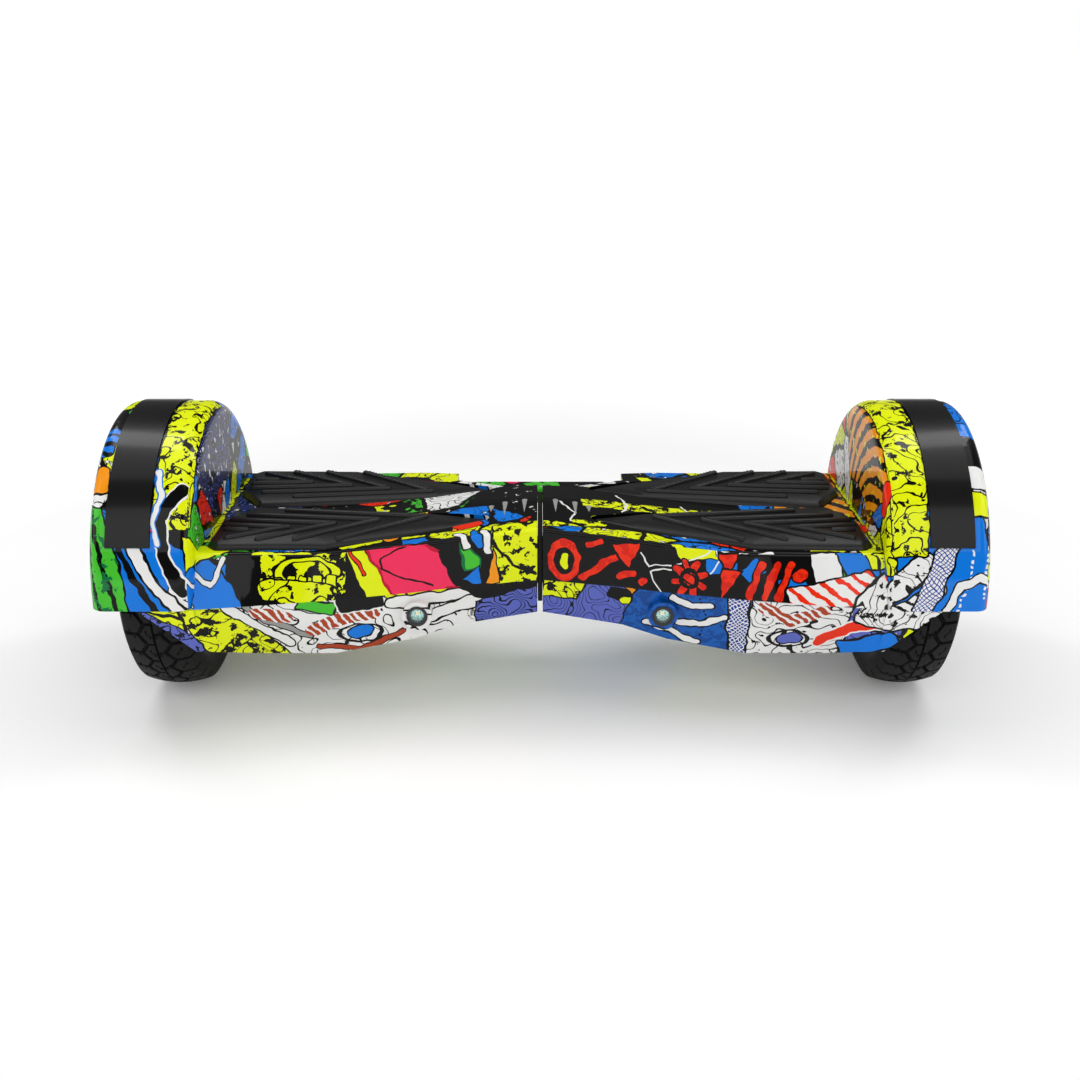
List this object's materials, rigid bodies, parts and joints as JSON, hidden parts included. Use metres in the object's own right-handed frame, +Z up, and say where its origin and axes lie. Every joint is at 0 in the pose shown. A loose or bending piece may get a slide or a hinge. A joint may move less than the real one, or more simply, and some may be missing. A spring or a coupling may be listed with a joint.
{
  "type": "self balancing hoverboard",
  "caption": "Two-wheeled self balancing board: twisting halves under wheel fenders, ribbed foot pads, hub-motor wheels, headlamps, carry handle and glossy graffiti-style shells.",
  "frame": {"origin": "on the floor below the middle of the board, between the two tyres' contact lines", "axes": "+X to the board's right along the wheel axles, -Y to the front where the headlamps are, +Z up"},
  "size_m": [0.612, 0.226, 0.214],
  "materials": {
    "printed_shell": "glossy graffiti-style print under clear coat",
    "belly_shell": "glossy graffiti-style print under clear coat",
    "smoked_cover": "gloss black",
    "foot_rubber": "matt black moulded rubber",
    "tyre_rubber": "matt black",
    "cast_aluminium": "as cast",
    "rim_paint": "dark grey coated",
    "steel": "turned",
    "magnet_steel": "nickel plated",
    "core_steel": "laminated",
    "copper": "enamelled wire",
    "bronze": "sintered",
    "black_plastic": "matt black",
    "circuit_board": "green solder mask",
    "battery_wrap": "blue shrink wrap",
    "clear_lens": "clear",
    "window_plastic": "translucent grey",
    "led_white": "white with a yellow die"
  },
  "bodies": {
    "left_half": {"left_upper_shell": "printed_shell", "left_lower_shell": "belly_shell", "left_fender_band": "smoked_cover", "left_light_strip": "led_white", "left_status_windows": "window_plastic", "left_pad_switches": "black_plastic", "left_shell_screws": "steel", "left_chassis": "cast_aluminium", "left_axle_clamp": "cast_aluminium", "left_axle": "steel", "left_stator": "core_steel", "left_windings": "copper", "left_headlamp_housing": "black_plastic", "left_headlamp_lens": "clear_lens", "left_headlamp_led": "led_white", "left_gyro_board": "circuit_board", "pivot_tube": "steel", "pivot_washer": "black_plastic", "pivot_circlip": "steel", "carry_handle": "printed_shell", "main_board": "circuit_board", "speaker": "black_plastic"},
    "right_half": {"right_upper_shell": "printed_shell", "right_lower_shell": "belly_shell", "right_fender_band": "smoked_cover", "right_light_strip": "led_white", "right_status_windows": "window_plastic", "right_pad_switches": "black_plastic", "right_shell_screws": "steel", "right_chassis": "cast_aluminium", "right_axle_clamp": "cast_aluminium", "right_axle": "steel", "right_stator": "core_steel", "right_windings": "copper", "right_headlamp_housing": "black_plastic", "right_headlamp_lens": "clear_lens", "right_headlamp_led": "led_white", "right_gyro_board": "circuit_board", "pivot_bushes": "bronze", "battery_pack": "battery_wrap", "battery_strap": "steel", "charge_socket": "black_plastic"},
    "left_wheel": {"left_tyre": "tyre_rubber", "left_motor_rim": "rim_paint", "left_motor_cover": "cast_aluminium", "left_magnets": "magnet_steel", "left_hub_bearings": "steel", "left_hub_cap": "black_plastic"},
    "right_wheel": {"right_tyre": "tyre_rubber", "right_motor_rim": "rim_paint", "right_motor_cover": "cast_aluminium", "right_magnets": "magnet_steel", "right_hub_bearings": "steel", "right_hub_cap": "black_plastic"},
    "left_front_pad": {"left_front_foot_pad": "foot_rubber"},
    "left_rear_pad": {"left_rear_foot_pad": "foot_rubber"},
    "right_front_pad": {"right_front_foot_pad": "foot_rubber"},
    "right_rear_pad": {"right_rear_foot_pad": "foot_rubber"},
    "power_button": {"power_button": "black_plastic"},
    "charge_cap": {"charge_cap": "black_plastic"}
  },
  "joints": [
    {"name": "waist_twist", "type": "hinge", "parent": "left_half", "child": "right_half", "pos_m": [0, 0, 0.092], "axis": [1, 0, 0], "range_deg": [-8, 8]},
    {"name": "left_wheel_spin", "type": "hinge", "parent": "left_half", "child": "left_wheel", "pos_m": [-0.27, 0, 0.1], "axis": [1, 0, 0], "continuous": true},
    {"name": "right_wheel_spin", "type": "hinge", "parent": "right_half", "child": "right_wheel", "pos_m": [0.27, 0, 0.1], "axis": [1, 0, 0], "continuous": true},
    {"name": "left_front_pad_press", "type": "slide", "parent": "left_half", "child": "left_front_pad", "axis": [0, 0, -1], "range_m": [0, 0.0015], "stiffness_N_per_m": 40000},
    {"name": "left_rear_pad_press", "type": "slide", "parent": "left_half", "child": "left_rear_pad", "axis": [0, 0, -1], "range_m": [0, 0.0015], "stiffness_N_per_m": 40000},
    {"name": "right_front_pad_press", "type": "slide", "parent": "right_half", "child": "right_front_pad", "axis": [0, 0, -1], "range_m": [0, 0.0015], "stiffness_N_per_m": 40000},
    {"name": "right_rear_pad_press", "type": "slide", "parent": "right_half", "child": "right_rear_pad", "axis": [0, 0, -1], "range_m": [0, 0.0015], "stiffness_N_per_m": 40000},
    {"name": "power_button_press", "type": "slide", "parent": "left_half", "child": "power_button", "axis": [0, -1, 0], "range_m": [0, 0.0015], "stiffness_N_per_m": 600},
    {"name": "charge_cap_hinge", "type": "hinge", "parent": "right_half", "child": "charge_cap", "pos_m": [0.087, 0.0824, 0.092], "axis": [1, 0, 0], "range_deg": [0, 110]}
  ]
}
